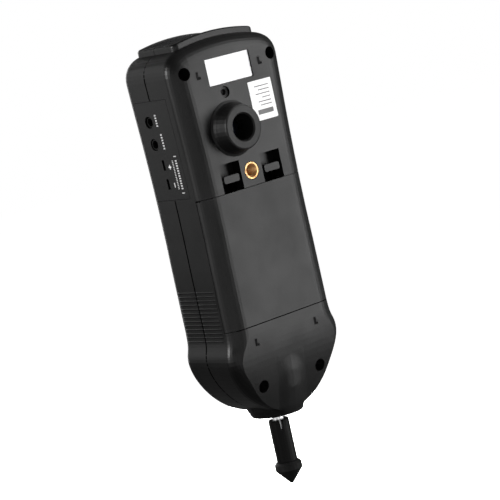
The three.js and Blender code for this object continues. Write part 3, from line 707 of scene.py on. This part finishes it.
# ------------------------------------------------------------------ printed marks
PRINT_THICK = 0.03
# Rows of bars by the sockets, as y, upper z, lower z, width, height and pitch of the bars.
PRINT_ROWS = (
    (-22.2, 38.3, 30.9, 1.3, 0.75, 1.35),
    (-21.2, 28.2, 19.0, 1.3, 0.8, 1.42),
    (-17.4, 14.2, -1.4, 0.9, 0.45, 0.85),
    (-14.6, 14.2, -1.4, 1.4, 0.75, 1.3),
)
# Single bars, as y, upper z, width and height: a plus, a minus and the ends of a bracket.
PRINT_BARS = (
    (-20.6, 11.3, 2.4, 0.7), (-20.6, 12.15, 0.7, 2.4), (-20.1, 2.8, 0.7, 2.4),
    (-14.6, 16.4, 2.0, 0.5), (-14.6, -2.6, 2.0, 0.5),
)


# Flat bars facing along Y, each as x0, x1, z0, z1; out is the way they stand off the plane at y.
def add_bars(bm, y, out, bars, thick=PRINT_THICK):
    for x0, x1, z0, z1 in bars:
        corners = [(x0, z0), (x1, z0), (x1, z1), (x0, z1)]
        low = [bm.verts.new((x * MM, y, z * MM)) for x, z in corners]
        high = [bm.verts.new((x * MM, y + out * thick * MM, z * MM)) for x, z in corners]
        loft(bm, [low, high])


# One bar on the sockets' side, cast onto the panel.
def add_side_bar(bm, touch, y, z, wide, tall):
    across = spaced(y - wide / 2, y + wide / 2, 3)
    grid = [[(FAR_SIDE * MM, a * MM, b * MM) for b in (z, z - tall)] for a in across]
    add_plate(bm, touch, grid, (-1, 0, 0), PRINT_THICK * MM)


def add_side_print():
    touch = surface_of("socket_panel")
    bm = bmesh.new()
    for y, z, z_low, wide, tall, pitch in PRINT_ROWS:
        while z - tall >= z_low - 0.01:
            add_side_bar(bm, touch, y, z, wide, tall)
            z -= pitch
    for bar in PRINT_BARS:
        add_side_bar(bm, touch, *bar)
    make_object("side_print", bm, glowing_white_ink)


# Lines of text as plain strokes, as length and height up the tag, over one thick bar.
TAG_LINES = ((9.4, 40.2), (7.2, 38.2), (9.4, 36.2), (5.6, 34.2), (8.6, 32.2), (7.6, 30.4))
TAG_LEFT, TAG_STROKE = -22.4, 0.45


def add_tag_print():
    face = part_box("side_label")[1][1]
    bm = bmesh.new()
    bars = [(-22.6, -12.4, 26.0, 28.4)]
    bars += [(TAG_LEFT, TAG_LEFT + length, z, z + TAG_STROKE) for length, z in TAG_LINES]
    add_bars(bm, face, 1, bars)
    make_object("side_label_print", bm, grey_ink)


# ------------------------------------------------------------------ thread of the tripod insert
THREAD = {"turns": 5.5, "steps": 32, "pitch": 1.27, "start": -0.85, "root": 3.04, "rise": 0.5}
THREAD_HALF = 0.5
# Steps over which it rises at each end, what the far end has over that, and the share left at both.
THREAD_RUNOUT, THREAD_FAR_EXTRA, THREAD_LEAST = 10, 0.01, 0.05


def add_insert_thread():
    bm = bmesh.new()
    steps, rings = THREAD["steps"], []
    count = int(THREAD["turns"] * steps)
    for i in range(count + 1):
        angle = 2 * math.pi * i / steps
        y = THREAD["start"] - THREAD["pitch"] * i / steps
        far = (count - i) / THREAD_RUNOUT + THREAD_FAR_EXTRA
        ends = max(min(1, i / THREAD_RUNOUT, far), THREAD_LEAST)
        crest = THREAD["root"] - THREAD["rise"] * ends
        ring = []
        for radius, along in ((THREAD["root"], -THREAD_HALF), (crest, 0), (THREAD["root"], THREAD_HALF)):
            place = Vector((radius * math.cos(angle), y + along, radius * math.sin(angle)))
            ring.append(bm.verts.new(place * MM))
        rings.append(ring)
    loft(bm, rings)
    make_object("insert_thread", bm, materials["brass"], smooth=0.9)


# ------------------------------------------------------------------ ribs of the top window
WINDOW_RIBS, WINDOW_MARGIN = 30, 0.0012
WINDOW_RIB_HALF, WINDOW_RIB_RISE, WINDOW_RIB_SINK = 0.0003, 0.0002, 0.0001


def add_window_ribs():
    touch = surface_of("top_window")
    low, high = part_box("top_window")
    ends = (low[1] + WINDOW_MARGIN, high[1] - WINDOW_MARGIN)
    bm = bmesh.new()
    for x in spaced(low[0] + WINDOW_MARGIN, high[0] - WINDOW_MARGIN, WINDOW_RIBS):
        across = (x - WINDOW_RIB_HALF, x, x + WINDOW_RIB_HALF)
        grid = [[(at, y, FAR_TOP * MM) for y in ends] for at in across]
        add_plate(bm, touch, grid, (0, 0, -1), WINDOW_RIB_RISE, WINDOW_RIB_SINK)
    make_object("top_window_ribs", bm, materials["smoked_window"])


# ------------------------------------------------------------------ display and keys
SEGMENT_GAP, SEGMENT_END = 0.3, 0.5  # around the middle line, and from the top and bottom lines
SEGMENTS = {"0": "abcdef", "1": "bc", "2": "abged", "4": "fgbc", "5": "afgcd", "8": "abcdefg"}
# Numerals as text, first x, z, pitch, width, height and line width.
READINGS = (("1480", -19, 25, 9.4, 7, 13, 1.3), ("205", 1, 12, 5, 3.6, 7, 0.8))
READING_DASHES = ((-19, -12, 17.2, 18), (-19, -9, 14.6, 15.4), (-19, -14, 12, 12.8))
BORDER_OUT, BORDER_IN, KEY_INK_THICK = 0.5, 2.4, 0.04
# Generic signs on the keys, as bars about each key's middle, each as x0, x1, z0, z1.
KEY_SIGNS = {
    1: ((-0.5, 0.5, 0.2, 2), (-1.6, -1.0, -1.4, 0.9), (1.0, 1.6, -1.4, 0.9), (-1.6, 1.6, -1.9, -1.3)),
    2: ((-1.6, 1.6, -0.3, 0.3), (-0.3, 0.3, -1.6, 1.6)),
    3: ((-1.6, 1.6, -0.3, 0.3),),
    4: ((-2.2, 2.2, 1, 1.6), (-2.2, 2.2, -0.3, 0.3), (-2.2, 2.2, -1.6, -1)),
    5: ((-1.8, -1.0, -1.6, 1.6), (1.0, 1.8, -1.6, 1.6)),
    6: ((-1.3, 1.3, -1.3, 1.3),),
}


# Bars of one seven-segment numeral; x grows to the reader's right, which is +X seen from -Y.
def digit_bars(digit, x, z, wide, tall, line):
    middle, right, top = z + tall / 2, x + wide, z + tall
    across = (x + line, right - line)
    upper = (middle + SEGMENT_GAP, top - SEGMENT_END)
    lower = (z + SEGMENT_END, middle - SEGMENT_GAP)
    places = {
        "a": (*across, top - line, top),
        "b": (right - line, right, *upper),
        "c": (right - line, right, *lower),
        "d": (*across, z, z + line),
        "e": (x, x + line, *lower),
        "f": (x, x + line, *upper),
        "g": (*across, middle - line / 2, middle + line / 2),
    }
    return [places[key] for key in SEGMENTS[digit]]


def add_display():
    bars = list(READING_DASHES)
    for text, x, z, pitch, wide, tall, line in READINGS:
        for i, digit in enumerate(text):
            bars += digit_bars(digit, x + pitch * i, z, wide, tall, line)
    bm = bmesh.new()
    add_bars(bm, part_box("lcd_panel")[0][1], -1, bars)
    make_object("display_digits", bm, black_ink)


def add_window_border():
    low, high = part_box("display_window")
    x0, z0, x1, z1 = low[0] / MM, low[2] / MM, high[0] / MM, high[2] / MM
    a, b = BORDER_OUT, BORDER_IN
    frame_bars = [
        (x0 + a, x0 + b, z0 + b, z1 - b), (x1 - b, x1 - a, z0 + b, z1 - b),
        (x0 + a, x1 - a, z0 + a, z0 + b), (x0 + a, x1 - a, z1 - b, z1 - a),
    ]
    bm = bmesh.new()
    add_bars(bm, low[1], -1, frame_bars, KEY_INK_THICK)
    make_object("window_border", bm, black_ink)


def add_key_marks():
    for number, bars in KEY_SIGNS.items():
        low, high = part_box(f"key_{number}")
        x, z = (low[0] + high[0]) / 2 / MM, (low[2] + high[2]) / 2 / MM
        bm = bmesh.new()
        shifted = [(x + a, x + b, z + c, z + d) for a, b, c, d in bars]
        add_bars(bm, low[1], -1, shifted, KEY_INK_THICK)
        make_object(f"key_mark_{number}", bm, glowing_white_ink, f"button_{number}")


# ------------------------------------------------------------------ run
add_camera()
add_world()
add_lights()
add_floor()
dress_cad_nodes()
add_grip_ribs()
add_pips()
add_ridge_swell()
add_case_shade_lines()
add_cover_shade_line()
add_pocket_shade_walls()
add_side_print()
add_tag_print()
add_insert_thread()
add_window_ribs()
add_display()
add_window_border()
add_key_marks()
